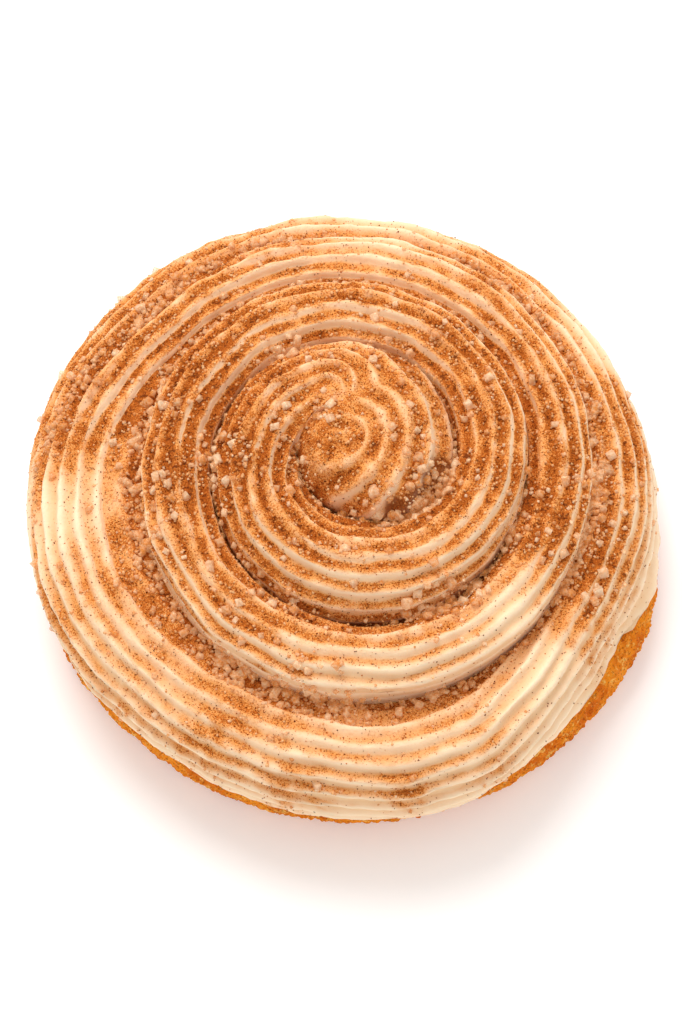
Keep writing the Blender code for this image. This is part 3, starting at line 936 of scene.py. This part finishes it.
# copies of a shape at many places: turned, stretched and sized, joined into one mesh
def grainMesh(name, kind, shape, places, normals, sizes, unshaded=1.0):
    draw = np.random.default_rng(kind["seed"] + 1)
    corners, faces = shape
    count = len(places)
    middles = places + normals * sizes[:, None] * kind["out"]
    stretch = draw.uniform(0.72, 1.25, (count, 1, 3)) * np.array([1, 1, kind["flat"]])
    jitter = 1 + draw.uniform(-0.14, 0.14, (count, len(corners), 1))
    local = corners[None] * stretch * jitter * sizes[:, None, None]
    points = np.einsum("nij,nvj->nvi", spins(draw, count), local) + middles[:, None, :]
    allFaces = faces[None] + (np.arange(count) * len(corners))[:, None, None]
    piece = meshFrom(name, points.reshape(-1, 3), allFaces.reshape(-1, 3))
    # a random tone for each grain, lowered by painted shade where a grain lies in shade
    addValues(piece, "tone", np.repeat(draw.random(count) * unshaded, len(corners)))
    print(name + ":", count, "grains,", len(piece.data.polygons), "triangles")
    return piece


# random places on the icing, as many for each face as its area times its weight. Also the icing's
# nearest point, and the generator, for the sizes
def scatter(kind, weight):
    draw = np.random.default_rng(kind["seed"])
    count = kind["count"]
    faces = skin["faces"][np.all(skin["faces"] < skin["top"], axis=1)]
    area = np.linalg.norm(faceNormals(skin["points"], faces), axis=-1)
    share = np.cumsum(area * weight[faces].mean(-1))
    chosen = faces[np.searchsorted(share / share[-1], draw.random(count))]
    first, second = draw.random((2, count, 1))
    over = first + second > 1
    first, second = np.where(over, 1 - first, first), np.where(over, 1 - second, second)
    a, b, c = skin["points"][chosen].transpose(1, 0, 2)
    places = a + first * (b - a) + second * (c - a)
    at = chosen[:, 0]
    return places, skin["normals"][at], at, draw


# each kind: "sizes" are half widths, "out" is how far a grain stands out of the icing in half widths,
# "colours" are the two ends of its tone
coarseSugar = {
    "count": 4200,
    "seed": 51,
    "sizes": (0.16 * mm, 0.66 * mm),
    "out": 0.3,
    "flat": 1.0,
    "colours": (tint(222, 136, 56), tint(255, 234, 200)),
    "roughness": 0.07,
    "alpha": 0.54,
    "mostlySmall": 3.0,
    "ceiling": 38.9 * mm,        # no grain stands far above the highest coil
    "corner": 1.8,               # how far a corner reaches, in half widths
    "shadeInGroove": 0.45,              # painted shade: by how much the tone falls in a groove
    # where they have gathered: x, y, width in mm, how much
    "clumps": [
        (15.6, -1, 3.6, 3.0), (12, -5, 2.5, 3.0), (7.7, -6.2, 3, 2.0), (43, -1, 6, 1.2), (41, -9, 5, 0.9),
        (31, -9, 5, 1.2), (29, -13, 4, 0.8), (0, 13, 4, 0.5),
        (-30, -8, 4.5, 0.9), (15.5, -21.4, 5, 2.0), (-4.2, 9.9, 3, 1.0), (-17, -30, 4, 1.2),
        (-6.5, -34.5, 4.5, 1.2), (1, -37, 4, 0.9), (-9.4, 22, 3, 0.8), (5, 25, 3, 0.8),
        (-14.6, 3.2, 3, 0.4), (-20, 1, 4, 0.6), (29.7, 36.6, 3, 0.5),
    ],
}

fineSugar = {
    "count": 5200,
    "seed": 53,
    "sizes": (0.10 * mm, 0.22 * mm),
    "out": 0.3,
    "flat": 1.0,
    "colours": (tint(208, 120, 44), tint(252, 208, 154)),
    "roughness": 0.15,
    "alpha": 0.62,
}

lightCinnamon = {
    "count": 24000,
    "seed": 55,
    "sizes": (0.06 * mm, 0.15 * mm),
    "out": 0.2,
    "flat": 0.6,
    "colours": (tint(198, 102, 26), tint(158, 70, 12)),
}

darkCinnamon = {
    "count": 14000,
    "seed": 57,
    "sizes": (0.07 * mm, 0.16 * mm),
    "out": 0.25,
    "flat": 0.6,
    "colours": (tint(136, 54, 8), tint(84, 32, 6)),
}


def dress(piece, material):
    piece.data.materials.append(material)
    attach(piece, "root")


def makeCoarseSugar(clump):
    kind = coarseSugar
    inGroove = smooth(0.20, 0.05, skin["groove"])
    weight = skin["dust"] ** 2 * (0.05 + 0.2 * clump + 0.7 * inGroove)
    for x, y, width, more in kind["clumps"]:
        weight = weight + more * spot(skin["points"], x, y, width) * (0.25 + 1.2 * inGroove)
    places, normals, at, draw = scatter(kind, weight)
    small, large = kind["sizes"]
    sizes = mix(small, large, draw.random(len(places)) ** kind["mostlySmall"])
    room = (kind["ceiling"] - places[:, 2]) / kind["corner"]
    sizes = np.minimum(sizes, np.maximum(room, small))
    # painted shade: grains down in a groove take a darker tone
    unshaded = 1 - kind["shadeInGroove"] * inGroove[at]
    crystals = grainMesh("sugar_coarse", kind, chunk, places, normals, sizes, unshaded)
    dress(crystals, crystalMaterial("sugar_clear", kind))


def makeGrains(name, kind, shape, weight, material):
    places, normals, _, draw = scatter(kind, weight)
    sizes = draw.uniform(*kind["sizes"], len(places))
    dress(grainMesh(name, kind, shape, places, normals, sizes), material)


def makeSprinkles():
    dust, crest, up = skin["dust"], skin["crest"], skin["normals"][:, 2]
    clump = smooth(0.1, 0.9, wavy(skin["points"], 9 * mm, 41))
    makeCoarseSugar(clump)
    # thickly where dust lies, and a few everywhere that doesn't face down
    weight = np.clip(dust - 0.2, 0, 1) ** 1.3 * (0.55 + 0.7 * clump) + 0.004 * (up > 0)
    makeGrains("sugar_fine", fineSugar, cube, weight, crystalMaterial("sugar_cloudy", fineSugar))
    weight = np.clip(dust, 0.02, 1.3) ** 1.3 * (1.25 - 0.8 * crest) + 0.03 * (up > -0.2)
    light = cinnamonMaterial("cinnamon_light", lightCinnamon)
    makeGrains("cinnamon", lightCinnamon, flake, weight, light)
    deep = cinnamonMaterial("cinnamon_deep", darkCinnamon)
    makeGrains("cinnamon_dark", darkCinnamon, flake, weight, deep)


makeSprinkles()


# ---- camera, light and floor

view = {
    "lens": 100.0,
    "elevation": 68.0,
    "distance": 0.47,
    "target": Vector((0, 0, 0.018)),
    "sensor": 36,
    "lift": -5.3 / 1024,         # shift in pixels over the picture's longer side
}

stage = {
    "sky": (1.0, 0.99, 0.98, 1),
    "skyStrength": 0.84,
    "key": {"place": (-0.12, 0.36, 0.62), "size": 0.45, "power": 3.9, "colour": (1, 0.985, 0.965)},
    "aim": Vector((0, 0, 0.02)),
    "floorReach": 3.0,
    "paint": (0.93, 0.925, 0.92, 1),
    "glow": (1, 0.985, 0.975, 1),
    "glowStrength": 0.14,
}


def makeCamera():
    data = bpy.data.cameras.new("camera")
    data.lens = view["lens"]
    data.sensor_width = view["sensor"]
    data.shift_y = view["lift"]
    camera = bpy.data.objects.new("camera", data)
    bpy.context.scene.collection.objects.link(camera)
    tilt = math.radians(view["elevation"])
    back = Vector((0, -math.cos(tilt), math.sin(tilt)))
    camera.location = view["target"] + back * view["distance"]
    camera.rotation_euler = (-back).to_track_quat('-Z', 'Y').to_euler()
    bpy.context.scene.camera = camera


def makeKeyLight():
    key = stage["key"]
    data = bpy.data.lights.new("key", 'AREA')
    data.shape = 'DISK'
    data.size = key["size"]
    data.energy = key["power"]
    data.color = key["colour"]
    lamp = bpy.data.objects.new("key", data)
    bpy.context.scene.collection.objects.link(lamp)
    lamp.location = key["place"]
    lamp.rotation_euler = (stage["aim"] - Vector(key["place"])).to_track_quat('-Z', 'Y').to_euler()


def makeStage():
    world = bpy.data.worlds.new("studio")
    bpy.context.scene.world = world
    world.use_nodes = True
    sky = world.node_tree.nodes["Background"]
    sky.inputs["Color"].default_value = stage["sky"]
    sky.inputs["Strength"].default_value = stage["skyStrength"]
    side = stage["floorReach"]
    corners = np.array([[-side, -side, 0], [side, -side, 0], [side, side, 0], [-side, side, 0]])
    floor = meshFrom("floor", corners, np.array([[0, 1, 2, 3]]))
    board = Board("floor_white")
    board.set(Base_Color=stage["paint"], Roughness=0.9, Specular_IOR_Level=0.1)
    board.set(Emission_Color=stage["glow"], Emission_Strength=stage["glowStrength"])
    floor.data.materials.append(board.material)
    bpy.context.scene.view_settings.view_transform = 'Standard'


makeCamera()
makeKeyLight()
makeStage()
print("camera, light and floor made")
